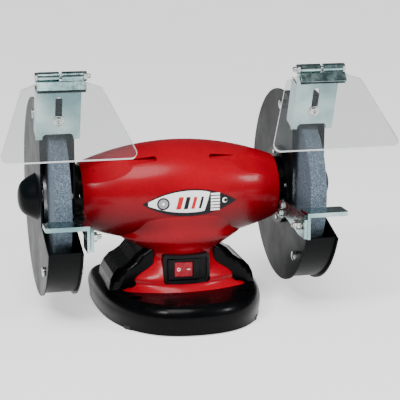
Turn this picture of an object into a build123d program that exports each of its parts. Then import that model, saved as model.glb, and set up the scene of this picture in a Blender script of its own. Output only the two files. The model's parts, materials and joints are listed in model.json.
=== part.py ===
from build123d import *
from math import cos, pi, radians, sin, sqrt
import os

os.makedirs("parts", exist_ok=True)

# Frame: millimetres, +X to the right along the spindle, -Y towards the user, +Z up.
# The origin is on the bench, in the middle of the four bench bolts, under the spindle.

# Driving dimensions
SPINDLE_H = 116.0
WHEEL_X = 120.0
WHEEL_R = 75.0
WHEEL_W = 16.0
WALL = 3.0
SKIN_GAP = 0.3

# Motor housing: a crowned barrel on a waisted column
BARREL_R = 48.8
BARREL_CROWN_R = 255.0
BARREL_END = 95.0
BORE_END = 85.0
SPIGOT_R = 28.0
STATOR_R = 44.0
STATOR_HALF = 21.0
# Column levels from the lip up into the barrel: height, half width, front depth at the middle,
# X and depth of the front corner, depth where the corner's facet meets the side
COLUMN = (
    (28.0, 60.5, 54.0, 57.5, 38.5, 32.0),
    (38.0, 50.0, 49.5, 47.0, 34.5, 28.0),
    (48.0, 39.5, 46.0, 36.5, 31.5, 25.5),
    (60.0, 33.0, 43.0, 30.0, 29.0, 23.0),
    (68.0, 42.0, 43.5, 37.0, 29.0, 21.0),
    (76.0, 57.0, 45.5, 49.0, 27.5, 18.0),
    (90.0, 74.0, 45.8, 64.0, 24.0, 12.0),
    (104.0, 80.0, 44.3, 71.0, 20.0, 9.0),
)
SCOOP_IN_X = 25.5
SCOOP_FLOOR_R = 43.3
SCOOP_TALL = 6.5
SCOOP_ANGLE = 51.0
FACET_ANGLE = 45.0
FACET_START_X = 48.0
FACET_END_DEPTH = 1.4
LUG_SPREAD = 30.0

# Base shell: a low tray with a bowed front and a saddle each side of the column
FOOT_H = 4.0
FOOT_R = 12.5
# (height, half width, depth of the bowed front half) of the tray
BASE = (
    (1.0, 79.0, 125.0),
    (12.0, 80.0, 126.0),
    (19.5, 79.6, 125.6),
    (24.5, 77.2, 123.2),
    (28.0, 70.0, 116.0),
)
BASE_TOP = 28.0
BASE_MID_Y = 23.0
BASE_BACK = 57.0
BASE_FRONT_SQUARE = 2.45
BASE_BACK_SQUARE = 5.0
# (height, half width) of the saddles
SADDLE = (
    (27.0, 72.0),
    (36.0, 70.0),
    (42.0, 67.0),
    (47.5, 62.0),
    (49.5, 57.5),
    (54.0, 51.0),
    (61.0, 45.0),
    (67.0, 36.0),
)
SADDLE_FRONT = -33.0
SADDLE_BACK = 42.0
SADDLE_CORNER = 10.0
BOLT_DX = 104.0
BOLT_DY = 120.0
BOLT_HOLE_R = 3.5

# Electrics in the column
GLAND_Z = 50.0
GLAND_SEAT_Y = 44.3
GLAND_R = 7.0
SWITCH_Z = 48.5
SWITCH_W = 45.0
SWITCH_TALL = 28.0
SWITCH_FRONT = -49.0
SWITCH_BOW_R = 53.7
ROCKER_X = -3.0
ROCKER_PIVOT_Y = -41.0
ROCKER_REST = -4.5
# X, Z and radius of the capacitor
CAPACITOR = (-20.0, 40.0, 9.5)
WIRE_OPENING = 18.0

# Spindle and bearings
SPINDLE_END = 146.0
WHEEL_SEAT_R = 6.35
THREAD_R = 6.0
BEARING_R = 7.5
BEARING_OUT_R = 17.5
BEARING_W = 11.0
BEARING_IN_X = 84.0
CORE_SHAFT_R = 8.5
ROTOR_R = 24.0
AIR_GAP = 0.5
FLANGE_R = 30.0

# Guards
COVER_IN_X = 104.0
COVER_OUT_X = 136.0
COVER_R = 94.0
BAND_R = 91.5
SHEET = 1.5
CUT_CORNER = (-88.0, -36.0)
CUT_KNEE = (-38.0, -20.0)
BOLT_CIRCLE_R = 81.0
COVER_BOLT_ANGLES = (96.0, 226.0, 351.0)
GUARD_SCREW_ANGLES = (80.0, 170.0, 260.0, 350.0)
BELL_SCREW_ANGLES = (35.0, 125.0, 215.0, 305.0)
FLANGE_IN_X = 100.0
GUARD_SCREW_R = 32.3
BELL_SCREW_R = 23.0
HUB_R = 22.0
HUB_H = 17.0
OPENING_BEHIND = 8.0

# Spark bracket: a steep plate that leans forward, with its local plane's Y up the plate
BRACKET_FOOT = (-48.3, 178.5)
BRACKET_LEAN = 19.6
BRACKET_W = 40.0
BRACKET_TALL = 65.0
BRACKET_SHEET = 1.5
SLOT_W = 6.2
SLOT_LOW = 17.0
SLOT_HIGH = 40.0
SCREW_UP = 19.0
NOTCH_W = 28.0
NOTCH_H = 5.5
SIDE_DEEP = 16.0
KNUCKLE_R = 4.5
KNUCKLE_BORE = 2.3
HINGE_PIN_R = 2.22

# Eye shield
SHIELD_LEAN = 38.0
SHIELD_T = 3.0
SHIELD_START = 6.0
SHIELD_OUTLINE = ((-20.0, 0.0), (-35.5, 6.0), (-58.5, 70.0), (-58.5, 77.5))

# Tool rests
REST_TOP = 109.6
REST_T = 4.0
REST_FRONT = -102.5
REST_BACK = -79.8
REST_OUT = 20.0
ARM_X = 97.2
ARM_T = 2.8
LUG_T = 2.7
PIVOT_Y = -91.0
PIVOT_Z = 97.0

LABEL_X = 3.0
LABEL_Z = 113.0
LABEL_HALF_W = 45.0
LABEL_HALF_TALL = 13.0

nodes = {}


def put(name, *solids):
    """Adds solids to the node called name."""
    nodes.setdefault(name, []).extend(solids)


def rod(x0, x1, radius, y=0.0, z=SPINDLE_H):
    """A solid cylinder along X from x0 to x1."""
    low = min(x0, x1)
    return extrude(Plane((low, y, z), x_dir=(0, 1, 0), z_dir=(1, 0, 0)) * Circle(radius), abs(x1 - x0))


def ring(x0, x1, outer, inner, y=0.0, z=SPINDLE_H):
    """A tube along X from x0 to x1."""
    return rod(x0, x1, outer, y, z) - rod(x0 - 1, x1 + 1, inner, y, z)


def hexagon(x0, x1, across, y=0.0, z=SPINDLE_H):
    """A hexagonal prism along X."""
    face = RegularPolygon(across / 2, 6, major_radius=False)
    return extrude(Plane((min(x0, x1), y, z), x_dir=(0, 1, 0), z_dir=(1, 0, 0)) * face, abs(x1 - x0))


def box(x0, x1, y0, y1, z0, z1):
    """A box from its corners."""
    centre = ((x0 + x1) / 2, (y0 + y1) / 2, (z0 + z1) / 2)
    return Pos(*centre) * Box(abs(x1 - x0), abs(y1 - y0), abs(z1 - z0))


def post(x, y, z0, z1, radius):
    """An upright cylinder."""
    return extrude(Plane((x, y, min(z0, z1))) * Circle(radius), abs(z1 - z0))


def side_profile(points, x0, x1):
    """A closed outline of (Y, Z) points as a slab from x0 to x1."""
    plane = Plane((min(x0, x1), 0, 0), x_dir=(0, 1, 0), z_dir=(1, 0, 0))
    return extrude(plane * make_face(Polyline(*points, close=True)), abs(x1 - x0))


def rod_y(x, z, y0, y1, radius):
    """A solid cylinder along Y from y0 to y1."""
    low = min(y0, y1)
    return extrude(Plane((x, low, z), x_dir=(1, 0, 0), z_dir=(0, 1, 0)) * Circle(radius), abs(y1 - y0))


def slab_y(width, tall, y0, y1, corner, x=0.0, z=SWITCH_Z):
    """A rounded rectangle facing the user, from y0 back to y1."""
    plane = Plane((x, min(y0, y1), z), x_dir=(1, 0, 0), z_dir=(0, 1, 0))
    return extrude(plane * RectangleRounded(width, tall, corner), abs(y1 - y0))


def crowned(radius, half_length):
    """The crowned barrel shape with the given middle radius."""
    crown = BARREL_CROWN_R - (BARREL_R - radius)
    drop = crown - sqrt(crown**2 - half_length**2)
    with BuildPart() as made:
        with BuildSketch(Plane.XY):
            with BuildLine():
                ThreePointArc((-half_length, radius - drop), (0, radius), (half_length, radius - drop))
                Line((half_length, radius - drop), (half_length, 0))
                Line((half_length, 0), (-half_length, 0))
                Line((-half_length, 0), (-half_length, radius - drop))
            make_face()
        revolve(axis=Axis.X)
    return Pos(0, 0, SPINDLE_H) * made.part


def sides(make):
    """Calls make for the right side, and mirrors what it gives for the left one."""
    for side, name in ((1, "right"), (-1, "left")):
        for node, solid in make():
            shape = solid if side == 1 else mirror(solid, about=Plane.YZ)
            put(node.replace("SIDE", name), shape)


# ---------------------------------------------------------------- base


def base_wire(half_w, front, z):
    """The tray's footprint: a superellipse with a bowed front and a squarer back."""
    back = BASE_BACK - (BASE[1][2] - front)
    count = 28
    points = []
    for i in range(count):
        angle = 2 * pi * (i + 0.5) / count
        c, s = cos(angle), sin(angle)
        power = 2.0 / (BASE_BACK_SQUARE if s > 0 else BASE_FRONT_SQUARE)
        depth = back if s > 0 else front
        x = half_w * abs(c) ** power * (1 if c > 0 else -1)
        y = depth * abs(s) ** power * (1 if s > 0 else -1)
        points.append((x, BASE_MID_Y + y, z))
    return Wire(Spline(*points, periodic=True))


def base_shell():
    body = Solid.make_loft([base_wire(a, b, z) for z, a, b in BASE])
    body = body - Solid.make_loft([base_wire(a - WALL, b - WALL, z - WALL) for z, a, b in BASE])
    body = body + (saddle_block(0.0) - column_loft(SKIN_GAP, 19.0))
    body = body - (saddle_block(WALL) - column_loft(SKIN_GAP + WALL, 15.0))
    for x, y in bench_bolts():
        body = body + post(x, y, FOOT_H, BASE_TOP - 2.5, 7.0)
        body = body - post(x, y, -1, FOOT_H, FOOT_R + 0.3)
        body = body - post(x, y, BASE_TOP - 3.0, 40.0, 6.0) - post(x, y, 0, 40.0, BOLT_HOLE_R)
    for x, y in column_screws():
        body = body - post(x, y, 20, 40, 2.3)
    for x, y in plate_screws():
        body = body + post(x, y, 8.5, BASE_TOP - 2, 4.0) - post(x, y, 0, 20.0, 1.6)
    half = WIRE_OPENING
    put("base_shell", body - box(-half, half, -half, half, 20, 40))


def saddle_block(shrink):
    """Both saddles with the column's place between them, pulled in by shrink all round."""
    wires = []
    centre_y = (SADDLE_FRONT + SADDLE_BACK) / 2
    length = SADDLE_BACK - SADDLE_FRONT - 2 * shrink
    for z, half_w in SADDLE:
        level = 20.0 if shrink and z == SADDLE[0][0] else z - shrink
        outline = RectangleRounded(2 * (half_w - shrink), length, SADDLE_CORNER - shrink)
        wires.append((Pos(0, centre_y, level) * outline).wire())
    inner = SADDLE[-1][1] - 6.0
    return Solid.make_loft(wires, True) - box(-inner, inner, -80, 80, 10, 100)


def bench_bolts():
    return [(x, y) for x in (-BOLT_DX / 2, BOLT_DX / 2) for y in (-BOLT_DY / 2, BOLT_DY / 2)]


def column_screws():
    return [(x, y) for x in (-LUG_SPREAD, LUG_SPREAD) for y in (-LUG_SPREAD, LUG_SPREAD)]


def plate_screws():
    return [(0, -88.0), (0, 66.0), (-66.0, 0), (66.0, 0)]


def base_fittings():
    plate = extrude(Plane((0, 0, 7)) * make_face(base_wire(75.5, 121.5, 0)), 1.5)
    for x, y in bench_bolts():
        plate = plate - post(x, y, 0, 20, 7.6)
        foot = post(x, y, 0, FOOT_H, FOOT_R) - post(x, y, -1, 10, BOLT_HOLE_R)
        put("rubber_feet", chamfer(foot.edges().sort_by(Axis.Z)[-1:], 0.6))
    for x, y in plate_screws():
        plate = plate - post(x, y, 0, 20, 1.9)
        put("base_screws", post(x, y, 7.0, 4.8, 3.4) + post(x, y, 6.9, 18.0, 1.55))
    for k in range(-3, 4):
        plate = plate - Pos(0, 9.0 * k, 8) * extrude(SlotOverall(60, 3.4), 4, both=True)
    put("bottom_plate", plate)
    for x, y in column_screws():
        put("base_screws", post(x, y, 22.4, 25.0, 4.0) + post(x, y, 24.9, 37.0, 1.95))


# ---------------------------------------------------------------- motor housing


def column_wire(level, grow):
    """One level of the column: bowed front and back, flat sides, a facet at each corner."""
    z, half_w, front, corner_x, corner_y, side_y = level
    x0, x1 = corner_x + 0.7 * grow, half_w + grow
    y0, y1, y2 = front + grow, corner_y + 0.7 * grow, side_y + 0.3 * grow
    rim = [
        ThreePointArc((-x0, -y1, z), (0, -y0, z), (x0, -y1, z)),
        Line((x0, -y1, z), (x1, -y2, z)),
        Line((x1, -y2, z), (x1, y2, z)),
        Line((x1, y2, z), (x0, y1, z)),
        ThreePointArc((x0, y1, z), (0, y0, z), (-x0, y1, z)),
        Line((-x0, y1, z), (-x1, y2, z)),
        Line((-x1, y2, z), (-x1, -y2, z)),
        Line((-x1, -y2, z), (-x0, -y1, z)),
    ]
    return Wire(rim)


def column_loft(grow, low, levels=len(COLUMN)):
    """The column grown outwards by grow, with its lip carried straight down to height low."""
    wires = [column_wire(level, grow) for level in COLUMN[:levels]]
    column = Solid.make_loft(wires)
    if low < COLUMN[0][0]:
        column = column + extrude(Plane((0, 0, 0)) * make_face(wires[0]), COLUMN[0][0] - low, dir=(0, 0, -1))
    return column


def scoop(side, floor, margin):
    """A flat-floored groove that fades out as the barrel narrows, grown by margin."""
    direction = Vector(0, -cos(radians(SCOOP_ANGLE)), sin(radians(SCOOP_ANGLE)))
    near, far = SCOOP_IN_X - margin, BARREL_END + 5 - 35 * (margin > 0)
    place = Vector(side * (near + far) / 2, 0, SPINDLE_H) + direction * floor
    block = fillet(Box(far - near, SCOOP_TALL + 2 * margin, 20).edges().filter_by(Axis.Z), 2.5)
    return Plane(place, x_dir=(1, 0, 0), z_dir=direction) * Pos(0, 0, 10) * block


def facet(side):
    """A long flat that trims the shoulder from below the scoop to the barrel's end."""
    near = BARREL_R - FACET_START_X**2 / (2 * BARREL_CROWN_R)
    far = BARREL_R - BARREL_END**2 / (2 * BARREL_CROWN_R) - FACET_END_DEPTH
    slope = (far - near) / (BARREL_END - FACET_START_X)
    out = Vector(0, -cos(radians(FACET_ANGLE)), sin(radians(FACET_ANGLE)))
    normal = (out - Vector(side * slope, 0, 0)).normalized()
    point = Vector(side * FACET_START_X, 0, SPINDLE_H) + out * near
    across = Vector(0, sin(radians(FACET_ANGLE)), cos(radians(FACET_ANGLE)))
    return Plane(point, x_dir=across, z_dir=normal) * Pos(0, 0, 10) * Box(60, 150, 20)


def motor_housing():
    outer = crowned(BARREL_R, BARREL_END) + column_loft(0.0, COLUMN[0][0])
    bore = crowned(BARREL_R - WALL, BORE_END) - ring(-STATOR_HALF - 1, STATOR_HALF + 1, 60, STATOR_R)
    bore = bore + rod(-BARREL_END - 1, BARREL_END + 1, SPIGOT_R)
    for side in (-1, 1):
        outer = outer - scoop(side, SCOOP_FLOOR_R, 0.0) - facet(side)
        bore = bore - scoop(side, SCOOP_FLOOR_R - WALL, 2.5)
    cavity = column_loft(-WALL, COLUMN[0][0] - 1.0, 6) - rod(-100, 100, STATOR_R + WALL)
    body = outer - bore - cavity
    for x, y in column_screws():
        rib = box(x - 2.5, x + 2.5, y, y * 1.42, COLUMN[0][0], 38)
        body = body + post(x, y, COLUMN[0][0], 38, 5.0) + rib - post(x, y, 20, 37, 1.95)
    for side in (-1, 1):
        for lug, hole in bell_lugs(side):
            body = body + lug - hole
    body = body - box(-9, 9, -30, 30, 60, 80) - switch_pocket()
    body = body + rod_y(0, GLAND_Z, 39.5, 43.0, 11.0)
    body = body - box(-14, 14, GLAND_SEAT_Y, 60, GLAND_Z - 11, GLAND_Z + 11)
    put("motor_housing", body - rod_y(0, GLAND_Z, 20, 70, GLAND_R + 0.05))


def bell_lugs(side):
    """The bosses inside the barrel that the end bell's screws go into."""
    for angle in BELL_SCREW_ANGLES:
        y, z = around_spindle(BELL_SCREW_R, angle)
        rib = Pos(0, BELL_SCREW_R + 5.5, 0) * Box(9.9, 11.0, 5.0)
        rib = Pos(side * 78.95, 0, SPINDLE_H) * (Rot(angle, 0, 0) * rib)
        yield rod(side * 70, side * 83.9, 4.5, y, z) + rib, rod(side * 68, side * 90, 2.0, y, z)


def switch_pocket():
    return slab_y(SWITCH_W, SWITCH_TALL, -70, -30, 3.0)


def switch():
    surround = slab_y(SWITCH_W - 0.2, SWITCH_TALL - 0.2, -60, -38.0, 2.9)
    surround = surround & post(0, SWITCH_FRONT + SWITCH_BOW_R, 20, 80, SWITCH_BOW_R)
    surround = surround - slab_y(SWITCH_W - 6, SWITCH_TALL - 6, -60, -43.5, 2.0)
    surround = surround - slab_y(30.0, 19.5, -50, -30, 1.0, ROCKER_X)
    put("switch_surround", surround)
    body = slab_y(29.9, 19.4, -45.7, -38.0, 0.9, ROCKER_X) + slab_y(27.0, 17.5, -38.0, -20.0, 1.0, ROCKER_X)
    body = body - slab_y(18.2, 14.4, -50, -32.0, 0.5, ROCKER_X)
    for dx in (-7, 0, 7):
        x = ROCKER_X + dx
        body = body + box(x - 0.4, x + 0.4, -20.0, -12.0, SWITCH_Z - 3, SWITCH_Z + 3)
    put("switch_body", body)
    put("switch_rocker", rocker())


def rocker():
    """A shallow V that tips about an upright axis, at rest with its left end pressed in."""
    right = [(0, -46.9), (8.4, -46.3), (7.6, -40.0), (3.0, -36.5)]
    left = [(-x, y) for x, y in reversed(right[1:])]
    face = make_face(Polyline(*right, *left, close=True))
    solid = extrude(Plane((ROCKER_X, 0, SWITCH_Z - 6.9)) * face, 13.8)
    pivot = Axis((ROCKER_X, ROCKER_PIVOT_Y, SWITCH_Z), (0, 0, 1))
    return solid.rotate(pivot, ROCKER_REST)


def end_bell():
    bell = rod(BARREL_END, FLANGE_IN_X, 27.5) + rod(FLANGE_IN_X, COVER_IN_X, 38.0)
    bell = bell + rod(BEARING_IN_X, BARREL_END, SPIGOT_R - 0.1)
    for y, z in arm_holes():
        bell = bell + rod(FLANGE_IN_X, COVER_IN_X, 6.5, y, z)
    bell = bell - rod(BEARING_IN_X - 1, BARREL_END, BEARING_OUT_R) - rod(80, 110, 9.0)
    for y, z in arm_holes():
        bell = bell - rod(90, 110, 2.5, y, z)
    for y, z in guard_screws():
        bell = bell - rod(90, 110, 2.0, y, z)
    for angle in BELL_SCREW_ANGLES:
        y, z = around_spindle(BELL_SCREW_R, angle)
        bell = bell - rod(80, 110, 2.1, y, z) - rod(COVER_IN_X - 7, 110, 4.0, y, z)
        head = rod(COVER_IN_X - 7, FLANGE_IN_X, 3.7, y, z)
        yield "bell_screws", head + rod(72, COVER_IN_X - 6, 2.0, y, z)
    yield "end_bell_SIDE", bell
    yield "bearing_outer_rings", ring(BEARING_IN_X, BEARING_IN_X + BEARING_W, BEARING_OUT_R, 15.0) - race(2.3)


def around_spindle(radius, angle):
    """The (Y, Z) at an angle from +Y towards +Z about the spindle."""
    return radius * cos(radians(angle)), SPINDLE_H + radius * sin(radians(angle))


def guard_screws():
    return [around_spindle(GUARD_SCREW_R, angle) for angle in GUARD_SCREW_ANGLES]


def race(radius):
    """The ring groove that the balls run in."""
    plane = Plane((BEARING_IN_X + BEARING_W / 2, 0, SPINDLE_H), x_dir=(0, 1, 0), z_dir=(1, 0, 0))
    return plane * Torus(12.8, radius)


def bearing_turning():
    inner = ring(BEARING_IN_X, BEARING_IN_X + BEARING_W, 10.8, BEARING_R) - race(2.15)
    yield "bearing_inner_rings", inner
    middle = BEARING_IN_X + BEARING_W / 2
    for k in range(8):
        angle = radians(45 * k)
        place = Pos(middle, 12.8 * cos(angle), SPINDLE_H + 12.8 * sin(angle))
        yield "bearing_balls", place * Sphere(2.1)


def stator():
    core = ring(-20, 20, STATOR_R, ROTOR_R + AIR_GAP)
    winding = ring(-34, -20.05, 40.0, 28.5) + ring(20.05, 34, 40.0, 28.5)
    for k in range(12):
        angle = radians(30 * k)
        y, z = 34.0 * cos(angle), SPINDLE_H + 34.0 * sin(angle)
        core = core - rod(-30, 30, 4.1, y, z)
        winding = winding + rod(-25, 25, 4.0, y, z)
    put("stator_core", core)
    put("stator_windings", winding)


def electrics():
    x, z, radius = CAPACITOR
    put("capacitor", rod_y(x, z, -7.0, 24.5, radius) + rod_y(x, z, -9.5, -7.0, 4.0))
    clip = rod_y(x, z, 18.5, 24.5, radius + 1.0) + box(x - 10, x + 10, 18.5, 24.5, BASE_TOP, 30.2)
    put("capacitor_clip", clip - rod_y(x, z, 10, 30, radius))
    block = box(24, 39, -13, 13, BASE_TOP, 38)
    for k in (-1, 0, 1):
        block = block - post(31.5, 8 * k, 33, 50, 2.2) - rod(20, 50, 1.8, 8 * k, 31.5)
    put("terminal_block", block)
    gland = rod_y(0, GLAND_Z, GLAND_SEAT_Y, 49.0, 10.0) + rod_y(0, GLAND_Z, 33.0, 56.0, GLAND_R)
    put("cable_gland", gland - rod_y(0, GLAND_Z, 20, 80, 4.0))
    nut_face = Plane((0, 34.5, GLAND_Z), x_dir=(1, 0, 0), z_dir=(0, 1, 0))
    nut = extrude(nut_face * RegularPolygon(9.0, 6, major_radius=False), 5.0)
    put("gland_nut", nut - rod_y(0, GLAND_Z, 20, 80, GLAND_R))


# ---------------------------------------------------------------- rotor


def spindle_and_wheels():
    spindle = rod(-SPINDLE_END, SPINDLE_END, THREAD_R) + rod(-128, 128, WHEEL_SEAT_R)
    spindle = spindle + rod(-98, 98, BEARING_R) + rod(-BEARING_IN_X, BEARING_IN_X, CORE_SHAFT_R)
    put("spindle", spindle)
    core = ring(-20, 20, ROTOR_R, CORE_SHAFT_R)
    cage = ring(-25, -20, ROTOR_R - 0.5, 14) + ring(20, 25, ROTOR_R - 0.5, 14)
    for k in range(16):
        angle = 2 * pi * k / 16
        y, z = 20.5 * cos(angle), SPINDLE_H + 20.5 * sin(angle)
        core = core - rod(-30, 30, 1.8, y, z)
        cage = cage + rod(-22, 22, 1.8, y, z)
    put("rotor_core", core)
    put("rotor_cage", cage)


def wheel_side():
    near, far = WHEEL_X - WHEEL_W / 2, WHEEL_X + WHEEL_W / 2
    wheel = ring(near, far, WHEEL_R, 16.0)
    yield "wheel_SIDE", chamfer(wheel.edges().filter_by(GeomType.CIRCLE).group_by(SortBy.RADIUS)[-1], 0.6)
    yield "wheel_bushes", ring(near, far, 16.0, WHEEL_SEAT_R)
    yield "blotters", ring(near - 0.6, near, FLANGE_R + 2, WHEEL_SEAT_R)
    yield "blotters", ring(far, far + 0.6, FLANGE_R + 2, WHEEL_SEAT_R)
    inner = ring(near - 4.1, near - 0.6, FLANGE_R, WHEEL_SEAT_R) + ring(98.0, near - 2, 8.6, WHEEL_SEAT_R)
    yield "inner_flanges", inner - ring(near - 1.4, near + 1, 20.0, 9.0)
    outer = ring(far + 0.6, far + 3.6, FLANGE_R, THREAD_R) + ring(far + 2, far + 4.6, 14.0, THREAD_R)
    outer = outer - ring(far - 1, far + 1.4, 20.0, THREAD_R)
    yield "outer_flanges", outer - rod(far - 1, far + 0.02, WHEEL_SEAT_R)
    yield "spindle_nuts", hexagon(far + 4.6, far + 13.6, 19.0) - rod(100, 160, THREAD_R)


# ---------------------------------------------------------------- guards


def cover_outline(radius):
    """The guard's side view: a disc with its front cut away for the wheel."""
    lean = radians(BRACKET_LEAN)
    edge_y = BRACKET_FOOT[0] + OPENING_BEHIND * cos(lean)
    edge_z = BRACKET_FOOT[1] - SPINDLE_H + OPENING_BEHIND * sin(lean)
    window = Polyline(
        (-150, CUT_CORNER[1]),
        CUT_CORNER,
        CUT_KNEE,
        (edge_y, edge_z),
        (edge_y - 40 * sin(lean), edge_z + 40 * cos(lean)),
        (-150, 150),
        close=True,
    )
    return Circle(radius) - make_face(window)


def guard():
    plane = Plane((COVER_IN_X, 0, SPINDLE_H), x_dir=(0, 1, 0), z_dir=(1, 0, 0))
    outline = cover_outline(COVER_R)
    inner = extrude(plane * outline, SHEET) - rod(90, 110, 15.0)
    cover = extrude(plane.offset(COVER_OUT_X - COVER_IN_X - SHEET) * outline, SHEET)
    for y, z in guard_screws():
        inner = inner - rod(90, 110, 2.05, y, z)
        head = rod(COVER_IN_X + SHEET, COVER_IN_X + SHEET + 1.8, 3.6, y, z)
        yield "guard_screws", head + rod(99.0, COVER_IN_X + 2, 2.0, y, z)
    for y, z in cover_bolts():
        inner = inner - rod(90, 110, 2.55, y, z)
        cover = cover - rod(130, 140, 2.55, y, z)
        head = rod(COVER_OUT_X, COVER_OUT_X + 2.6, 4.4, y, z)
        yield "cover_bolts", head + rod(100.2, COVER_OUT_X + 1, 2.5, y, z)
        yield "m5_nuts", hexagon(COVER_IN_X - 3.4, COVER_IN_X, 8.0, y, z) - rod(90, 110, 2.5, y, z)
    for y, z in arm_holes():
        inner = inner - rod(90, 110, 2.55, y, z)
    yield "guard_inner_SIDE", inner
    yield "guard_cover_SIDE", cover - rod(130, 140, HUB_R - SHEET) + hub_dome()
    yield "guard_band_SIDE", guard_band()


def hub_dome():
    """A hollow pressed dome over the spindle nut."""
    back, top = COVER_OUT_X - SHEET, COVER_OUT_X + HUB_H
    outside = ((COVER_OUT_X, HUB_R + 1), (COVER_OUT_X + 2, HUB_R - 0.6), (top - 5, 15.5), (top, 0))
    inside = ((top - SHEET, 0), (top - 5 - SHEET, 14.2), (COVER_OUT_X, HUB_R - 1.8), (back, HUB_R - SHEET))
    with BuildPart() as made:
        with BuildSketch(Plane.XY):
            with BuildLine():
                Polyline((back, HUB_R - SHEET), (back, HUB_R + 1), (COVER_OUT_X, HUB_R + 1))
                Spline(*outside, tangents=((0.6, -1), (0, -1)))
                Line((top, 0), (top - SHEET, 0))
                Spline(*inside, tangents=((0, 1), (-0.6, 0.3)))
            make_face()
        revolve(axis=Axis.X)
    return Pos(0, 0, SPINDLE_H) * made.part


def cover_bolts():
    return [around_spindle(BOLT_CIRCLE_R, angle) for angle in COVER_BOLT_ANGLES]


def bracket_plane():
    lean = radians(BRACKET_LEAN)
    return Plane((0, *BRACKET_FOOT), x_dir=(1, 0, 0), z_dir=(0, -cos(lean), -sin(lean)))


def guard_band():
    """The rim between the two covers, ending in a tab that carries the spark bracket."""
    plane = Plane((COVER_IN_X + SHEET, 0, SPINDLE_H), x_dir=(0, 1, 0), z_dir=(1, 0, 0))
    band = extrude(plane * (Circle(BAND_R) - Circle(BAND_R - SHEET)), COVER_OUT_X - COVER_IN_X - 2 * SHEET)
    corner = (CUT_CORNER[0], SPINDLE_H + CUT_CORNER[1])
    knee = (CUT_KNEE[0], SPINDLE_H + CUT_KNEE[1])
    window = side_profile(((-200, corner[1]), corner, knee, (-40, 260), (-200, 260)), 90, 150)
    local = bracket_plane()
    behind = local * Pos(WHEEL_X, 40, -103.0) * Box(60, 200, 200)
    tab = local * Pos(WHEEL_X, 22.0, -2.35) * Box(26.0, 24.0, 1.4)
    return (band - window) + ((band & window) & behind) + tab - screw_hole(local, 2.6)


def screw_hole(local, radius):
    return local * Pos(WHEEL_X, SCREW_UP, -10) * Cylinder(radius, 40)


# ---------------------------------------------------------------- spark bracket and eye shield


def spark_bracket(x, side):
    local = bracket_plane()
    pin_z = KNUCKLE_R - BRACKET_SHEET
    plate = Pos(0, BRACKET_TALL / 2, -BRACKET_SHEET / 2) * Box(BRACKET_W, BRACKET_TALL, BRACKET_SHEET)
    wing_x = (BRACKET_W - BRACKET_SHEET) / 2
    for s in (-1, 1):
        plate = plate + Pos(s * wing_x, 24.5, -SIDE_DEEP / 2) * Box(BRACKET_SHEET, 45, SIDE_DEEP)
    notch = Pos(0, NOTCH_H / 2 - 3, -2) * Box(NOTCH_W, NOTCH_H + 6, 10)
    plate = plate - fillet(notch.edges().filter_by(Axis.Z).sort_by(Axis.Y)[-2:], 3.5)
    slot = SlotCenterToCenter(SLOT_HIGH - SLOT_LOW, SLOT_W, rotation=90)
    plate = plate - Pos(0, (SLOT_LOW + SLOT_HIGH) / 2, -2) * extrude(slot, 10, both=True)
    plate = plate - Pos(BRACKET_W / 4, BRACKET_TALL, 0) * Box(BRACKET_W / 2 + 2.4, 14, 30)
    plate = plate - cross_rod(-30, 30, KNUCKLE_R - 0.2, BRACKET_TALL, pin_z)
    plate = plate + knuckle(-BRACKET_W / 2, -1.2, BRACKET_TALL, pin_z)
    put("spark_bracket_" + side, local * Pos(x, 0, 0) * plate)
    hinge_bolt(x, side, local, pin_z)
    screw = Pos(x, SCREW_UP, 1.25) * Cylinder(4.4, 2.2) + Pos(x, SCREW_UP, -3.4) * Cylinder(2.5, 7.2)
    put("bracket_screws", local * screw)
    nut = extrude(RegularPolygon(4.0, 6, major_radius=False), 2.0, both=True) - Cylinder(2.5, 10)
    put("m5_nuts", local * Pos(x, SCREW_UP, -5.05) * nut)


def hinge_bolt(x, side, local, pin_z):
    """The bolt through both knuckles, with its nut on the motor's side."""
    inward = -1 if x > 0 else 1
    pin = cross_rod(x - inward * 20.5, x + inward * 27.0, HINGE_PIN_R, BRACKET_TALL, pin_z)
    head = cross_rod(x - inward * 20.1, x - inward * 22.6, 3.9, BRACKET_TALL, pin_z)
    blank = extrude(RegularPolygon(4.0, 6, major_radius=False), 1.6, both=True)
    nut = Pos(x + inward * 21.9, BRACKET_TALL, pin_z) * Rot(0, 90, 0) * blank
    nut = nut - cross_rod(x - 40, x + 40, HINGE_PIN_R, BRACKET_TALL, pin_z)
    put("hinge_bolt_" + side, local * (pin + head), local * nut)


def cross_rod(x0, x1, radius, up, out):
    """A cylinder along X in the bracket's plane."""
    return Pos((x0 + x1) / 2, up, out) * Rot(0, 90, 0) * Cylinder(radius, abs(x1 - x0))


def knuckle(x0, x1, up, out):
    """A rolled hinge knuckle."""
    return cross_rod(x0, x1, KNUCKLE_R, up, out) - cross_rod(x0 - 1, x1 + 1, KNUCKLE_BORE, up, out)


def hinge_point():
    """The (Y, Z) of the hinge axis."""
    origin = bracket_plane().from_local_coords(Vector(0, BRACKET_TALL, KNUCKLE_R - BRACKET_SHEET))
    return origin.Y, origin.Z


def shield_plane(x):
    """Local X along the hinge, local Y down the shield, local Z out of its front."""
    lean = radians(SHIELD_LEAN)
    y, z = hinge_point()
    return Plane((x, y, z), x_dir=(-1, 0, 0), z_dir=(0, -cos(lean), sin(lean)))


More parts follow.
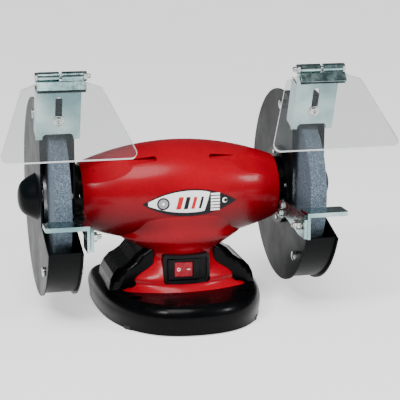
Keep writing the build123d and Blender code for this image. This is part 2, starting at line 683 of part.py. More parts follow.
def shield(x, side):
    """The clear shield and the folded strip that clamps its top edge to the hinge."""
    local = shield_plane(x)
    right = [(a, b + SHIELD_START) for a, b in SHIELD_OUTLINE]
    left = [(-a, b) for a, b in reversed(right)]
    sheet = extrude(make_face(Polyline(*right, *left, close=True)), SHIELD_T / 2, both=True)
    sheet = fillet(sheet.edges().filter_by(Axis.Z).group_by(Axis.Y)[-1], 6.0)
    sheet = fillet(sheet.edges().filter_by(Axis.Z).group_by(Axis.Y)[1], 2.5)
    put("eye_shield_" + side, local * sheet)
    leaf = KNUCKLE_R + 0.4
    clamp = Pos(0, (leaf + 15.0) / 2, 0) * Box(43, 15.0 - leaf, SHIELD_T + 2.0)
    clamp = fillet(clamp.edges().filter_by(Axis.X).sort_by(Axis.Y)[:2], 1.8)
    clamp = clamp - Pos(0, SHIELD_START + 20, 0) * Box(60, 40, SHIELD_T)
    # This plane's X runs against the row's, so the knuckle on +X is at negative local x.
    own = knuckle(-BRACKET_W / 2, -1.2, 0, 0)
    web = Pos(-BRACKET_W / 4 - 0.6, 3.5, 1.75) * Box(BRACKET_W / 2 - 1.2, 4.8, 1.5)
    web = web - cross_rod(-30, 30, KNUCKLE_R - 0.2, 0, 0)
    put("shield_clamp_" + side, local * (clamp + own + web))


# ---------------------------------------------------------------- tool rests


def arm_holes():
    return [(-33.0, 103.0), (-26.5, 94.0)]


def rest_arm():
    """The strip that carries the tool rest, bolted to the end bell's flange."""
    outline = (
        (-103.0, 86.0),
        (-103.0, 104.0),
        (-99.0, 107.9),
        (-40.0, 108.2),
        (-29.0, 108.2),
        (-20.5, 92.0),
        (-24.0, 88.5),
        (-32.0, 89.5),
        (-41.6, 93.3),
        (-72.0, 88.8),
        (-84.0, 86.0),
    )
    arm = side_profile(outline, ARM_X, FLANGE_IN_X)
    front, back, half = PIVOT_Y - 9.0, PIVOT_Y + 20.0, 3.2
    low, high = PIVOT_Z - half, PIVOT_Z + half
    slot = side_profile(((front, low), (front, high), (back, high), (back, low)), ARM_X - 1, FLANGE_IN_X + 1)
    arm = arm - fillet(slot.edges().filter_by(Axis.X), half - 0.1)
    for y, z in arm_holes():
        arm = arm - rod(90, 110, 2.55, y, z)
        yield "arm_bolts", rod(ARM_X - 2.0, ARM_X, 4.4, y, z) + rod(ARM_X - 1, COVER_IN_X + 2.5, 2.5, y, z)
    yield "rest_arm_SIDE", arm


def tool_rest():
    lug_x0 = FLANGE_IN_X + 0.5
    lug_x1 = lug_x0 + LUG_T
    outer_x = WHEEL_X + REST_OUT
    body = box(lug_x0, outer_x, REST_FRONT, REST_BACK, REST_TOP - REST_T, REST_TOP)
    body = body + box(lug_x0, lug_x1, REST_FRONT, REST_BACK, 85.0, REST_TOP - 1)
    body = fillet(body.edges().filter_by(Axis.Z).group_by(Axis.X)[-1], 2.5)
    yield "tool_rest_SIDE", body - rod(90, 110, 2.58, PIVOT_Y, PIVOT_Z)
    head = hexagon(ARM_X - 4.3, ARM_X - 0.3, 8.0, PIVOT_Y, PIVOT_Z)
    yield "rest_clamp_SIDE", rod(ARM_X - 8.5, lug_x1, 2.5, PIVOT_Y, PIVOT_Z) + head


def label():
    """A thin pointed-oval plate that follows the barrel's front."""
    arc_r = (LABEL_HALF_W**2 + LABEL_HALF_TALL**2) / (2 * LABEL_HALF_TALL)
    rise = arc_r - LABEL_HALF_TALL
    lens = (Pos(0, rise) * Circle(arc_r)) & (Pos(0, -rise) * Circle(arc_r))
    prism = extrude(Plane((LABEL_X, -70, LABEL_Z), x_dir=(1, 0, 0), z_dir=(0, 1, 0)) * lens, 50)
    put("label_plate", (crowned(BARREL_R + 0.5, 80) - crowned(BARREL_R + 0.02, 90)) & prism)


def main():
    base_shell()
    base_fittings()
    motor_housing()
    switch()
    stator()
    electrics()
    label()
    spindle_and_wheels()
    sides(end_bell)
    sides(bearing_turning)
    sides(wheel_side)
    sides(guard)
    for x, side in ((WHEEL_X, "right"), (-WHEEL_X, "left")):
        spark_bracket(x, side)
        shield(x, side)
    sides(rest_arm)
    sides(tool_rest)
    for name, shapes in nodes.items():
        solids = [solid for shape in shapes for solid in shape.solids()]
        export_step(Compound(children=solids, label=name), f"parts/{name}.step")


main()
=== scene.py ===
"""A bench grinder's looks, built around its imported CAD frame. Lengths are metres unless named _mm."""

import json
import math

import bmesh
import bpy
from mathutils import Matrix, Vector


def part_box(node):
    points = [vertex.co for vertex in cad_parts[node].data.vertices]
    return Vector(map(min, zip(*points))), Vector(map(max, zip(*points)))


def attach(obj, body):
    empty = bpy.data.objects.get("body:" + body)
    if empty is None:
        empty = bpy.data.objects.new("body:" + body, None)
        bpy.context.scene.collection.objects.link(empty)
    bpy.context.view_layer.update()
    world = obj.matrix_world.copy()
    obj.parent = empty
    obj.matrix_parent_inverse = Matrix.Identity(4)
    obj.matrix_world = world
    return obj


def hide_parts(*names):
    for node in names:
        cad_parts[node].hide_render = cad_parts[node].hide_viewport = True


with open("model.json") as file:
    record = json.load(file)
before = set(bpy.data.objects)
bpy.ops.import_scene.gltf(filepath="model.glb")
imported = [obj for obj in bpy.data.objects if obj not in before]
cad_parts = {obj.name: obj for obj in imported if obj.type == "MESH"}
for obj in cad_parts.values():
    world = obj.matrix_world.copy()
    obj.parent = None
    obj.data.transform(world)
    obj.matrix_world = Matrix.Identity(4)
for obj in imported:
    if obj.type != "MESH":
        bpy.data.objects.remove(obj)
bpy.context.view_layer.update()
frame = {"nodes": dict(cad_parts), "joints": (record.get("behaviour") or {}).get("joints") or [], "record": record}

MM = 0.001
TAU = 2 * math.pi
SIDES = ("left", "right")

# Places read from the frame: the bracket's plate leans, and slides down along its own face
JOINT = {joint["name"]: joint for joint in frame["joints"]}
SPINDLE_Z = JOINT["rotor_spin"]["pos_m"][2]
HINGE = {side: Vector(JOINT["shield_tilt_" + side]["pos_m"]) for side in SIDES}
PLATE_DOWN = Vector(JOINT["bracket_slide_left"]["axis"])
PLATE_OUT = Vector((0, PLATE_DOWN.z, -PLATE_DOWN.y))
BARREL_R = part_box("motor_housing")[1].z - SPINDLE_Z

CROWN_R = 255 * MM  # the arc along the barrel's front
M5_R = 2.5 * MM
M5_ACROSS = 8 * MM
WELD = 1e-6


# ---------------------------------------------------------------- finishes


class Finish:
    """A procedural material: short calls for the nodes that the finishes share."""

    def __init__(self, name, edge_mm=0.35):
        self.material = bpy.data.materials.new(name)
        self.material.use_nodes = True
        self.tree = self.material.node_tree
        self.shader = self.tree.nodes["Principled BSDF"]
        self.place = self.tree.nodes.new("ShaderNodeTexCoord").outputs["Object"]
        self.edge_mm = edge_mm

    def node(self, kind, **values):
        made = self.tree.nodes.new(kind)
        for key, value in values.items():
            made.inputs[key.replace("_", " ")].default_value = value
        return made

    def link(self, source, target):
        self.tree.links.new(source, target)

    def set(self, **values):
        for key, value in values.items():
            self.shader.inputs[key.replace("_", " ")].default_value = value

    def stretched(self, stretch):
        if stretch == (1, 1, 1):
            return self.place
        mapping = self.node("ShaderNodeMapping", Scale=stretch)
        self.link(self.place, mapping.inputs["Vector"])
        return mapping.outputs["Vector"]

    def noise(self, size_mm, detail=3.0, stretch=(1, 1, 1), distortion=0.0):
        scale = 1 / (size_mm * MM)
        made = self.node("ShaderNodeTexNoise", Scale=scale, Detail=detail, Distortion=distortion)
        self.link(self.stretched(stretch), made.inputs["Vector"])
        return made.outputs["Fac"]

    def grains(self, size_mm, output="Color"):
        made = self.node("ShaderNodeTexVoronoi", Scale=1 / (size_mm * MM))
        self.link(self.place, made.inputs["Vector"])
        return made.outputs[output]

    def ramp(self, source, *stops):
        made = self.node("ShaderNodeValToRGB")
        ramp = made.color_ramp
        while len(ramp.elements) < len(stops):
            ramp.elements.new(0.5)
        for element, (place, colour) in zip(ramp.elements, stops):
            element.position = place
            element.color = (*colour, 1)
        self.link(source, made.inputs["Fac"])
        return made.outputs["Color"]

    def spread(self, source, low, high):
        """Stretches a noise's usual range over low to high."""
        made = self.node("ShaderNodeMapRange", From_Min=0.3, From_Max=0.7, To_Min=low, To_Max=high)
        self.link(source, made.inputs["Value"])
        return made.outputs["Result"]

    def mix(self, factor, a, b):
        """A blend of two colours; the Mix node's colour sockets are told apart by their index."""
        made = self.tree.nodes.new("ShaderNodeMix")
        made.data_type = "RGBA"
        for value, index in ((factor, 0), (a, 6), (b, 7)):
            if isinstance(value, bpy.types.NodeSocket):
                self.link(value, made.inputs[index])
            else:
                made.inputs[index].default_value = value
        return made.outputs[2]

    def colour(self, source):
        self.link(source, self.shader.inputs["Base Color"])

    def roughness(self, source):
        self.link(source, self.shader.inputs["Roughness"])

    def relief(self, *layers):
        """Stacks bump layers, each (height, depth_mm), on slightly rounded edges."""
        edge = self.node("ShaderNodeBevel", Radius=self.edge_mm * MM)
        edge.samples = 4
        normal = edge.outputs["Normal"]
        for height, depth_mm in layers:
            bump = self.node("ShaderNodeBump", Strength=1.0, Distance=depth_mm * MM)
            self.link(height, bump.inputs["Height"])
            self.link(normal, bump.inputs["Normal"])
            normal = bump.outputs["Normal"]
        self.link(normal, self.shader.inputs["Normal"])
        return self.material


def enamel(name, bright, deep, low, high, gloss):
    """Sprayed gloss enamel: orange peel, slow colour drift, and painted shade that darkens it where it faces down.
    """
    f = Finish(name)
    drift = f.ramp(f.noise(40, 3), (0.3, deep), (0.7, bright))
    # Painted shade: the more a face points down, the more its colour is mixed towards a fifth of the deep colour.
    tilt = f.node("ShaderNodeSeparateXYZ")
    f.link(f.tree.nodes.new("ShaderNodeNewGeometry").outputs["Normal"], tilt.inputs["Vector"])
    under = f.node("ShaderNodeMapRange", From_Min=-0.7, From_Max=0.5, To_Min=0.94, To_Max=0.0)
    f.link(tilt.outputs["Z"], under.inputs["Value"])
    shade = tuple(value * 0.2 for value in deep)
    f.colour(f.mix(under.outputs["Result"], drift, (*shade, 1)))
    f.roughness(f.spread(f.noise(25, 3), low, high))
    f.set(Coat_Weight=gloss, Coat_Roughness=0.12, Specular_IOR_Level=gloss)
    return f.relief((f.noise(1.3, 2), 0.02), (f.noise(14, 2), 0.03))


def plated(name, cool, warm, low, high, grain=(1, 1, 1)):
    """Bright sheet or plated metal: two slowly mixed tones, fine rolling lines and a fine grain."""
    f = Finish(name, 0.3)
    patches = f.ramp(f.noise(48, 2, distortion=0.4), (0.3, cool), (0.7, warm))
    lines = f.noise(1.1, 4, stretch=grain)
    f.colour(f.mix(0.14, patches, f.ramp(lines, (0.3, (0.3, 0.36, 0.37)), (0.7, (0.62, 0.7, 0.7)))))
    f.roughness(f.spread(f.noise(5, 5), low, high))
    f.set(Metallic=1.0)
    return f.relief((lines, 0.004), (f.noise(0.35, 3), 0.003))


def abrasive(name):
    """Vitrified abrasive: blue-grey grains of many tones, a few of them bright, and a pitted surface."""
    f = Finish(name, 0.2)
    cell = f.grains(0.6)
    value = f.node("ShaderNodeSeparateColor")
    f.link(cell, value.inputs["Color"])
    grain = f.ramp(
        value.outputs["Red"],
        (0.0, (0.03, 0.042, 0.058)),
        (0.35, (0.07, 0.1, 0.135)),
        (0.85, (0.17, 0.225, 0.28)),
        (0.97, (0.3, 0.36, 0.41)),
    )
    f.colour(f.mix(f.spread(f.noise(22, 3), 0.05, 0.3), grain, (0.085, 0.12, 0.16, 1)))
    f.roughness(f.spread(f.noise(1.0, 3), 0.7, 0.95))
    return f.relief((f.grains(0.6, "Distance"), 0.1), (f.noise(0.4, 3), 0.06))


def moulded(name, colour, pale, low, high, texture_mm=0.45, depth_mm=0.02, edge_mm=0.35):
    """Moulded plastic or rubber with a fine sparked texture."""
    f = Finish(name, edge_mm)
    f.colour(f.ramp(f.noise(11, 4), (0.35, colour), (0.75, pale)))
    f.roughness(f.spread(f.noise(3, 4), low, high))
    f.set(Specular_IOR_Level=0.16)
    return f.relief((f.noise(texture_mm, 3), depth_mm), (f.noise(7, 2), 0.03))


def turned(name, colour, pale, low, high):
    """Machined steel with fine tool marks round the X axis."""
    f = Finish(name, 0.25)
    marks = f.noise(1.0, 3, stretch=(9, 0.4, 0.4))
    f.colour(f.ramp(marks, (0.3, colour), (0.7, pale)))
    f.roughness(f.spread(f.noise(4, 4), low, high))
    f.set(Metallic=1.0)
    return f.relief((marks, 0.015))


def clear(name, alpha, colour, pale, gloss):
    """Clear polycarbonate with wiped haze and hairline scratches."""
    f = Finish(name, 0.3)
    haze = f.noise(1.4, 5, stretch=(0.25, 1, 3.5))
    f.colour(f.ramp(f.noise(24, 3), (0.3, colour), (0.7, pale)))
    f.roughness(f.spread(haze, 0.05, 0.14))
    f.set(IOR=1.58, Alpha=alpha, Specular_IOR_Level=gloss)
    return f.relief((haze, 0.004))


def glowing_red(name):
    """Translucent red plastic of a lit rocker."""
    f = Finish(name, 0.3)
    f.colour(f.ramp(f.noise(4, 3), (0.3, (0.24, 0.0, 0.008)), (0.7, (0.46, 0.002, 0.02))))
    f.roughness(f.spread(f.noise(2, 3), 0.16, 0.34))
    f.set(Transmission_Weight=0.1, IOR=1.5, Coat_Weight=0.1, Coat_Roughness=0.1, Specular_IOR_Level=0.2)
    return f.relief((f.noise(0.8, 2), 0.012))


def flat_print(name, colour, pale):
    """Printed film under a thin clear laminate."""
    f = Finish(name, 0.1)
    f.colour(f.ramp(f.noise(0.5, 2), (0.35, colour), (0.7, pale)))
    f.roughness(f.spread(f.noise(6, 3), 0.22, 0.36))
    f.set(Specular_IOR_Level=0.08)
    return f.relief((f.noise(2.5, 2), 0.008))


RED = enamel("red_enamel", (0.42, 0.0, 0.011), (0.33, 0.0, 0.008), 0.22, 0.32, 0.12)
SATIN = enamel("guard_black", (0.0035, 0.0055, 0.0065), (0.0018, 0.0026, 0.003), 0.3, 0.44, 0.045)
BLACK = enamel("black_enamel", (0.002, 0.0022, 0.0026), (0.001, 0.001, 0.0012), 0.22, 0.34, 0.06)
ZINC = plated("zinc_plate", (0.1, 0.23, 0.25), (0.6, 0.78, 0.75), 0.14, 0.3, (0.3, 0.3, 6))
BRIGHT = plated("zinc_fastener", (0.56, 0.6, 0.62), (0.72, 0.72, 0.66), 0.16, 0.34)
STEEL = turned("turned_steel", (0.42, 0.42, 0.43), (0.66, 0.66, 0.67), 0.2, 0.36)
GROUND = turned("bearing_steel", (0.6, 0.6, 0.61), (0.78, 0.78, 0.79), 0.1, 0.2)
CORE = turned("lamination_steel", (0.2, 0.2, 0.22), (0.36, 0.36, 0.38), 0.35, 0.5)
ABRASIVE = abrasive("abrasive")
PLASTIC = moulded("switch_black", (0.003, 0.003, 0.0035), (0.006, 0.006, 0.007), 0.32, 0.46)
RUBBER = moulded("foot_rubber", (0.018, 0.018, 0.018), (0.035, 0.034, 0.033), 0.6, 0.85, 0.3, 0.05, 0.5)
CARD = moulded("blotter_card", (0.12, 0.13, 0.15), (0.2, 0.21, 0.22), 0.75, 0.9)
BUSH = moulded("bush_plastic", (0.66, 0.64, 0.58), (0.76, 0.74, 0.68), 0.4, 0.55)
ALUMINIUM = plated("cage_aluminium", (0.68, 0.69, 0.7), (0.78, 0.78, 0.78), 0.28, 0.42)
COPPER = plated("copper", (0.55, 0.22, 0.1), (0.66, 0.3, 0.15), 0.25, 0.4)
CLEAR = clear("clear_shield", 0.19, (0.08, 0.09, 0.095), (0.12, 0.13, 0.135), 0.06)
# Painted highlight: the shield's rounded edges get a pale, nearly opaque copy of the clear finish.
CLEAR_EDGE_HIGHLIGHT = clear("clear_shield_edge_highlight", 0.75, (0.75, 0.8, 0.8), (0.92, 0.95, 0.95), 0.5)
ROCKER = glowing_red("rocker_red")
INK_WHITE = flat_print("label_white", (0.95, 0.95, 0.96), (1.0, 1.0, 1.0))
INK_BLACK = flat_print("label_black", (0.012, 0.012, 0.013), (0.02, 0.02, 0.022))
INK_RED = flat_print("label_red", (0.5, 0.01, 0.015), (0.62, 0.015, 0.02))
INK_GREY = flat_print("label_grey", (0.3, 0.3, 0.32), (0.38, 0.38, 0.4))

BY_SLOT = {
    "red_enamel": RED,
    "black_enamel": BLACK,
    "zinc_plate": ZINC,
    "zinc_fastener": BRIGHT,
    "turned_steel": STEEL,
    "bearing_steel": GROUND,
    "lamination_steel": CORE,
    "copper": COPPER,
    "cage_aluminium": ALUMINIUM,
    "abrasive": ABRASIVE,
    "blotter_card": CARD,
    "bush_plastic": BUSH,
    "clear_shield": CLEAR,
    "switch_black": PLASTIC,
    "rocker_red": ROCKER,
    "foot_rubber": RUBBER,
    "label_film": INK_BLACK,
}


def paint_frame():
    """Gives every CAD node its slot's finish; the pressed guards are a satin black instead of gloss."""
    for part in frame["record"]["subparts"]:
        slot = part["material_slot"]
        pressed = part["node"].startswith("guard_") and slot == "black_enamel"
        mesh = frame["nodes"][part["node"]].data
        mesh.materials.clear()
        mesh.materials.append(SATIN if pressed else BY_SLOT[slot])


# ---------------------------------------------------------------- mesh helpers


def piece(name, bm, body, slot, *materials, stands_for=(), sharp=32):
    """Turns a bmesh into a named piece that rides on a body; sharp is in degrees."""
    mesh = bpy.data.meshes.new(name)
    bmesh.ops.recalc_face_normals(bm, faces=bm.faces)
    bm.to_mesh(mesh)
    bm.free()
    for material in materials:
        mesh.materials.append(material)
    mesh.shade_smooth()
    mesh.set_sharp_from_angle(angle=math.radians(sharp))
    made = bpy.data.objects.new(name, mesh)
    bpy.context.scene.collection.objects.link(made)
    if stands_for:
        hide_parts(*stands_for)
    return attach(made, body)


def welded(node):
    """A bmesh copy of a CAD node, with its touching vertices joined."""
    bm = bmesh.new()
    bm.from_mesh(frame["nodes"][node].data)
    bmesh.ops.remove_doubles(bm, verts=bm.verts, dist=WELD)
    return bm


def solids(node):
    """The points of each separate solid in a node."""
    bm = welded(node)
    seen = set()
    found = []
    for start in bm.verts:
        if start in seen:
            continue
        seen.add(start)
        waiting = [start]
        members = []
        while waiting:
            vert = waiting.pop()
            members.append(vert.co.copy())
            for edge in vert.link_edges:
                other = edge.other_vert(vert)
                if other not in seen:
                    seen.add(other)
                    waiting.append(other)
        found.append(members)
    bm.free()
    return found


def reach(points, axis):
    """A turned solid's middle, and how far it reaches each way along its axis from there."""
    middle = sum(points, Vector()) / len(points)
    along_axis = [(point - middle).dot(axis) for point in points]
    return middle, min(along_axis), max(along_axis)


def along(start, axis):
    """The matrix that puts local +Z along axis, with its origin at start."""
    return Matrix.Translation(start) @ axis.to_track_quat("Z", "Y").to_matrix().to_4x4()


def polar(radius, angle, height):
    return Vector((radius * math.cos(angle), radius * math.sin(angle), height))


def ring(bm, matrix, count, place):
    """A ring of vertices; place gives the local point at each angle."""
    return [bm.verts.new(matrix @ place(TAU * k / count)) for k in range(count)]


def skin(bm, rows, closed=False):
    """Faces between rings: the ends are capped, or if closed the last ring joins the first."""
    count = len(rows[0])
    following = rows[1:] + rows[:1] if closed else rows[1:]
    for lower, upper in zip(rows, following):
        for k in range(count):
            bm.faces.new((lower[k], lower[(k + 1) % count], upper[(k + 1) % count], upper[k]))
    if not closed:
        bm.faces.new(list(reversed(rows[0])))
        bm.faces.new(rows[-1])


def hoop(bm, matrix, profile, count):
    """A closed (radius, height) profile turned once round local Z."""
    rows = []
    for radius, height in profile:
        rows.append(ring(bm, matrix, count, lambda angle: polar(radius, angle, height)))
    skin(bm, rows, closed=True)


# ---------------------------------------------------------------- fastener shapes


def thread(bm, start, axis, length, radius, pitch=0.8 * MM):
    """A rod with a helical V thread and a chamfer at its far end."""
    depth = 0.55 * pitch
    chamfer_start = 0.25 * MM
    chamfer_end = 0.6 * MM
    rings_per_turn = 6
    steps = max(8, round(length / pitch * rings_per_turn))
    levels = [(radius, length * i / steps) for i in range(steps + 1)]
    levels[-2] = (radius - chamfer_start, levels[-2][1])
    levels[-1] = (radius - chamfer_end, length)

    def groove(crest, angle, height):
        turn = (height / pitch - angle / TAU) % 1.0
        return polar(crest - depth * abs(2 * turn - 1), angle, height)

    matrix = along(start, axis)
    rows = []
    for crest, height in levels:
        rows.append(ring(bm, matrix, 28, lambda angle: groove(crest, angle, height)))
    skin(bm, rows)


def hexagon(bm, start, axis, thick, across):
    """A hexagon with the curved chamfers that turning leaves on its corners."""
    flat = across / 2
    face_r = 0.96 * flat
    chamfer_r = 0.97 * flat
    slope = math.tan(math.radians(30))

    def rim(angle, level, inward):
        radius = flat / math.cos((angle + math.pi / 6) % (math.pi / 3) - math.pi / 6)
        fall = max(0.0, radius - chamfer_r) * slope
        return polar(radius, angle, level + inward * fall)

    matrix = along(start, axis)
    rows = []
    for level, inward in ((0.0, 1), (thick, -1)):
        face = ring(bm, matrix, 48, lambda angle: polar(face_r, angle, level))
        edge = ring(bm, matrix, 48, lambda angle: rim(angle, level, inward))
        rows += [face, edge][::inward]
    skin(bm, rows)


def pan_head(bm, start, axis, radius, height):
    """A pan head with a cross recess sunk into its crown."""
    crown = 0.35 * height
    flat_r = 0.55 * radius
    levels = [(radius * 0.97, 0.0), (radius, 0.12 * height), (radius, height - crown)]
    for k in range(1, 7):
        angle = math.pi / 2 * k / 7
        r = flat_r + (radius - flat_r) * math.cos(angle)
        levels.append((r, height - crown + crown * math.sin(angle)))
    levels += [(flat_r * k / 8.5, height) for k in range(8, 0, -1)]
    arm = 0.54 * radius
    arm_half = 0.16 * radius

    def recessed(r, angle, z):
        point = polar(r, angle, z)
        off_arm = min(abs(point.x), abs(point.y)) / arm_half
        if z > 0.9 * height and r < arm and off_arm < 1.6:
            point.z -= 0.75 * height * min(1.0, 1.6 - off_arm) * (1.15 - r / arm)
        return point

    matrix = along(start, axis)
    rows = []
    for r, z in levels:
        rows.append(ring(bm, matrix, 48, lambda angle: recessed(r, angle, z)))
    skin(bm, rows)


def washer(bm, start, axis, outer, inner, thick):
    """A flat washer with broken outer edges."""
    edge = 0.15 * MM
    rim = [(outer - edge, 0), (outer, edge), (outer, thick - edge), (outer - edge, thick)]
    hoop(bm, along(start, axis), [(inner, 0), *rim, (inner, thick)], 40)


# ---------------------------------------------------------------- fasteners


def fastener(name, bm, body, node):
    piece(name, bm, body, "zinc_fastener", BRIGHT, stands_for=[node])


def outward(points):
    """+X on the right of the machine and -X on its left."""
    return Vector((1 if points[0].x > 0 else -1, 0, 0))


def crosswise(node, side):
    """A fastener along X: the direction to the motor, and its ends' centres, outer end first."""
    low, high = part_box(node)
    y = (low.y + high.y) / 2
    z = (low.z + high.z) / 2
    into = Vector((-1 if side == "right" else 1, 0, 0))
    ends = (high.x, low.x) if side == "right" else (low.x, high.x)
    return into, Vector((ends[0], y, z)), Vector((ends[1], y, z))


def cover_fasteners():
    """Bolts through the guards, with a pan head outside and a threaded end on the motor's side."""
    head_tall = 2.6 * MM
    overlap = 0.4 * MM
    bm = bmesh.new()
    for points in solids("cover_bolts"):
        out = outward(points)
        middle, low, high = reach(points, out)
        pan_head(bm, middle + out * (high - head_tall), out, 4.4 * MM, head_tall)
        rod_top = high - head_tall - overlap
        thread(bm, middle + out * rod_top, -out, rod_top - low, M5_R)
    fastener("guard_bolts", bm, "root", "cover_bolts")


def nuts():
    """All M5 nuts: those on the guards face along X, those behind the brackets lean with them."""
    thickest = 5 * MM
    bm = bmesh.new()
    for points in solids("m5_nuts"):
        wide = max(p.x for p in points) - min(p.x for p in points)
        axis = outward(points) if wide < thickest else PLATE_OUT
        middle, low, high = reach(points, axis)
        hexagon(bm, middle + axis * low, axis, high - low, M5_ACROSS)
    fastener("lock_nuts", bm, "root", "m5_nuts")


def bracket_screws():
    """The screw in each bracket's slot, with a washer under its head."""
    head_tall = 1.7 * MM
    washer_thick = 0.5 * MM
    overlap = 0.1 * MM
    bm = bmesh.new()
    for points in solids("bracket_screws"):
        middle, low, high = reach(points, PLATE_OUT)
        seat = high - head_tall
        rod_top = seat - overlap
        pan_head(bm, middle + PLATE_OUT * seat, PLATE_OUT, 4.2 * MM, head_tall)
        washer(bm, middle + PLATE_OUT * (seat - washer_thick), PLATE_OUT, 5.4 * MM, 2.4 * MM, washer_thick)
        thread(bm, middle + PLATE_OUT * rod_top, -PLATE_OUT, rod_top - low, 2.45 * MM)
    fastener("slot_screws", bm, "root", "bracket_screws")


def arm_fasteners():
    """Hex heads that hold each arm to the end bell."""
    head_tall = 2 * MM
    overlap = 0.1 * MM
    bm = bmesh.new()
    for points in solids("arm_bolts"):
        out = outward(points)
        middle, low, high = reach(points, out)
        rod_foot = low + head_tall - overlap
        hexagon(bm, middle + out * low, out, head_tall, M5_ACROSS)
        thread(bm, middle + out * rod_foot, out, high - rod_foot, M5_R)
    fastener("arm_screws", bm, "root", "arm_bolts")


def hinge_bolts(side):
    """The bolt through the two knuckles, its nut and its long threaded end."""
    head_thick = 2.5 * MM
    overlap = 0.1 * MM
    nut_from_middle = 20.3 * MM
    into, outer, end = crosswise("hinge_bolt_" + side, side)
    outer.yz = HINGE[side].yz
    end.yz = HINGE[side].yz
    rod_start = outer + into * (head_thick - overlap)
    bm = bmesh.new()
    hexagon(bm, outer, into, head_thick, 7.6 * MM)
    thread(bm, rod_start, into, (end - rod_start).length, 2.2 * MM, 0.7 * MM)
    hexagon(bm, HINGE[side] + into * nut_from_middle, into, 3.2 * MM, 7.8 * MM)
    fastener("hinge_screw_" + side, bm, "bracket_" + side, "hinge_bolt_" + side)


def rest_fasteners(side):
    """The bolt that clamps the rest to its arm, with its nut and washer on the motor's side."""
    nut_from_end = 8.2 * MM
    washer_thick = 0.2 * MM
    into, outer, end = crosswise("rest_clamp_" + side, side)
    nut = end - into * nut_from_end
    bm = bmesh.new()
    thread(bm, outer, into, (end - outer).length, M5_R)
    hexagon(bm, nut, into, 4 * MM, M5_ACROSS)
    washer(bm, nut - into * washer_thick, into, 5.4 * MM, 2.4 * MM, washer_thick)
    fastener("rest_bolt_" + side, bm, "rest_slider_" + side, "rest_clamp_" + side)


# ---------------------------------------------------------------- label


def barrel_y(x, rise, lift):
    """Y of the barrel's front at x and height rise above the spindle, lifted off the paint."""
    radius = BARREL_R + lift - (CROWN_R - math.sqrt(CROWN_R**2 - x * x))
    return -math.sqrt(radius**2 - rise**2)


def printed(name, outline_mm, lift_mm, ink):
    """A closed outline, in millimetres about the label's middle, cut into a grid and laid on the barrel."""
    grid = ((Vector((1, 0, 0)), 4 * MM), (Vector((0, 0, 1)), 1.2 * MM))
    cuts_each_way = 12
    low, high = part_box("label_plate")
    middle = (low + high) / 2
    bm = bmesh.new()
    bm.faces.new([bm.verts.new((x * MM, 0, z * MM)) for x, z in outline_mm])
    for axis, step in grid:
        for k in range(-cuts_each_way, cuts_each_way + 1):
            geom = bm.verts[:] + bm.edges[:] + bm.faces[:]
            bmesh.ops.bisect_plane(bm, geom=geom, plane_co=axis * k * step, plane_no=axis, dist=WELD / 10)
    for vert in bm.verts:
        x = middle.x + vert.co.x
        rise = middle.z + vert.co.z - SPINDLE_Z
        vert.co = Vector((x, barrel_y(x, rise, lift_mm * MM), SPINDLE_Z + rise))
    return piece(name, bm, "root", "label_film", ink, sharp=60)


def arch(half_w, half_tall, steps=24):
    """A shallow arc above the label's middle, from its right tip to its left tip."""
    radius = (half_w**2 + half_tall**2) / (2 * half_tall)
    points = []
    for k in range(steps + 1):
        x = half_w - 2 * half_w * k / steps
        points.append((x, math.sqrt(radius**2 - x * x) - radius + half_tall))
    return points


def circle(x, z, radius, count=28):
    turns = [TAU * k / count for k in range(count)]
    return [(x + radius * math.cos(turn), z + radius * math.sin(turn)) for turn in turns]


def slanted(x, wide, low, high, lean=0.0):
    """A bar whose top is moved right by lean."""
    return [(x, low), (x + wide, low), (x + wide + lean, high), (x + lean, high)]


def label_print():
    """Plain shapes, in millimetres: a pale field, a ring, slanted stripes, blank bars and a dot."""
    field_left = -41.5
    field_right = 17.5
    flatter = 0.78
    disc = (-26, 0.2)
    upper = [point for point in arch(43.6, 11.8) if field_left <= point[0] <= field_right]
    lower = [(x, -flatter * z) for x, z in reversed(upper) if x <= field_right - 5]
    slanted_end = [(13.6, -8.2), (18.8, 9.4)]
    printed("label_field", lower + slanted_end + upper, 0.62, INK_WHITE)
    printed("label_disc", circle(*disc, 6.0), 0.7, INK_BLACK)
    printed("label_disc_face", circle(*disc, 4.5), 0.76, INK_GREY)
    printed("label_disc_bore", circle(*disc, 1.5), 0.82, INK_WHITE)
    for k in range(4):
        stripe = slanted(-14 + 7.2 * k, 4.6 - 0.7 * k, -5.6, 6.2 - 0.2 * k, 2.8)
        printed(f"label_stripe_{k}", stripe, 0.7, INK_RED if k % 2 == 0 else INK_BLACK)
    for k in range(6):
        low = 6.4 - 3.0 * k
        printed(f"label_bar_{k}", slanted(19.5, 9, low, low + 2), 0.66, INK_WHITE)
    printed("label_dot", circle(33.4, 0.8, 2.6), 0.66, INK_WHITE)
    printed("label_dot_core", circle(34.2, 0.8, 1.7), 0.72, INK_BLACK)


# ---------------------------------------------------------------- switch marks


def face_at(node, point):
    """Where a line straight back through point first meets a node, and the surface's normal there."""
    return frame["nodes"][node].ray_cast(point - Vector((0, 50 * MM, 0)), Vector((0, 1, 0)))[1:3]


def rocker_marks():
    """A raised ring on the rocker's off end and a raised bar on its on end."""
    from_middle = 4.6 * MM
    sunk = -0.1 * MM
    tall = 0.3 * MM
    outer = 1.6 * MM
    inner = 1.05 * MM
    low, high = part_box("switch_rocker")
    middle = Vector(((low.x + high.x) / 2, low.y, (low.z + high.z) / 2))
    bm = bmesh.new()
    place, normal = face_at("switch_rocker", middle - Vector((from_middle, 0, 0)))
    hoop(bm, along(place, normal), [(outer, sunk), (outer, tall), (inner, tall), (inner, sunk)], 32)
    place, normal = face_at("switch_rocker", middle + Vector((from_middle, 0, 0)))
    size = Matrix.Diagonal((3.2 * MM, 0.7 * MM, 2 * tall, 1))
    bmesh.ops.create_cube(bm, size=1.0, matrix=along(place, normal) @ size)
    piece("rocker_marks", bm, "rocker", "label_film", INK_WHITE)


# ---------------------------------------------------------------- eye shields


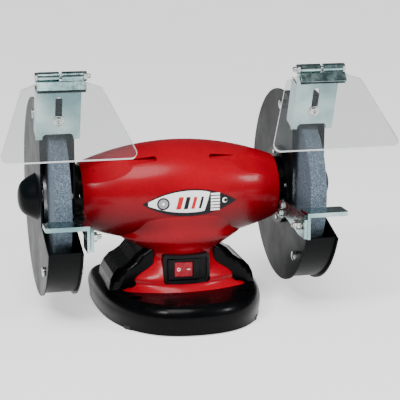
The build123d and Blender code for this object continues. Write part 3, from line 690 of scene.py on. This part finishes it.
def eye_shield(side):
    """The clear sheet, its rounded edges given a paler, more opaque finish as a painted highlight."""
    bm = welded("eye_shield_" + side)
    bmesh.ops.dissolve_limit(bm, angle_limit=math.radians(0.5), verts=bm.verts, edges=bm.edges)
    rims = [e for e in bm.edges if len(e.link_faces) == 2 and e.calc_face_angle() > math.radians(60)]
    bmesh.ops.bevel(bm, geom=rims, offset=0.5 * MM, segments=3, profile=0.5, affect="EDGES")
    broad = max(bm.faces, key=lambda face: face.calc_area()).normal.copy()
    # Broad faces keep the clear finish; the rounded edges take the second material, a painted highlight.
    as_flat = 0.95
    for face in bm.faces:
        face.material_index = 0 if abs(face.normal.dot(broad)) > as_flat else 1
    name = "shield_sheet_" + side
    piece(name, bm, "shield_" + side, "clear_shield", CLEAR, CLEAR_EDGE_HIGHLIGHT, stands_for=["eye_shield_" + side])


# ---------------------------------------------------------------- stage


def stand(name, data, location, rotation):
    """Adds a light or camera to the scene."""
    made = bpy.data.objects.new(name, data)
    made.location = location
    made.rotation_euler = rotation
    bpy.context.scene.collection.objects.link(made)
    return made


def facing(place, target):
    """The rotation that points a light or camera at place towards target."""
    return (Vector(target) - Vector(place)).to_track_quat("-Z", "Y").to_euler()


def pale_floor():
    """A wide floor with its own glow, which keeps it pale under the dim lights."""
    bpy.ops.mesh.primitive_plane_add(size=24, location=(0, 0, 0))
    floor = bpy.context.object
    floor.name = "floor"
    pale = Finish("floor_pale")
    pale.colour(pale.ramp(pale.noise(200, 3), (0.3, (0.9, 0.9, 0.9)), (0.7, (0.94, 0.94, 0.94))))
    pale.set(Roughness=0.7, Emission_Color=(1, 1, 1, 1), Emission_Strength=0.8)
    floor.data.materials.append(pale.material)


def lights():
    """A broad overhead light, a dim surround, and two softboxes for the barrel's shoulders."""
    world = bpy.data.worlds.new("studio")
    bpy.context.scene.world = world
    world.use_nodes = True
    surround = world.node_tree.nodes["Background"]
    surround.inputs["Color"].default_value = (0.96, 0.98, 1, 1)
    surround.inputs["Strength"].default_value = 0.12
    target = (0, 0, 0.14)
    softboxes = (
        ("key", (-0.75, -0.8, 0.95), 0.3, 11),
        ("fill", (0.95, -0.75, 0.65), 0.26, 8),
    )
    for name, place, size, power in softboxes:
        softbox = bpy.data.lights.new(name, "AREA")
        softbox.size = size
        softbox.energy = power
        stand(name, softbox, place, facing(place, target))
    sky = bpy.data.lights.new("sky", "SUN")
    sky.energy = 2.4
    sky.angle = math.radians(30)
    stand("sky", sky, (0, 0, 0), (math.radians(30), math.radians(-10), 0))


def camera():
    """The viewing angle: from the front, a little left of and above the machine."""
    data = bpy.data.cameras.new("camera")
    data.lens = 123.16
    data.sensor_width = 36
    place = (-0.2813, -1.2608, 0.402)
    bpy.context.scene.camera = stand("camera", data, place, facing(place, (0.0237, 0, 0.10393)))


camera()
pale_floor()
lights()
paint_frame()
cover_fasteners()
nuts()
bracket_screws()
arm_fasteners()
for each in SIDES:
    hinge_bolts(each)
    rest_fasteners(each)
    eye_shield(each)
label_print()
rocker_marks()
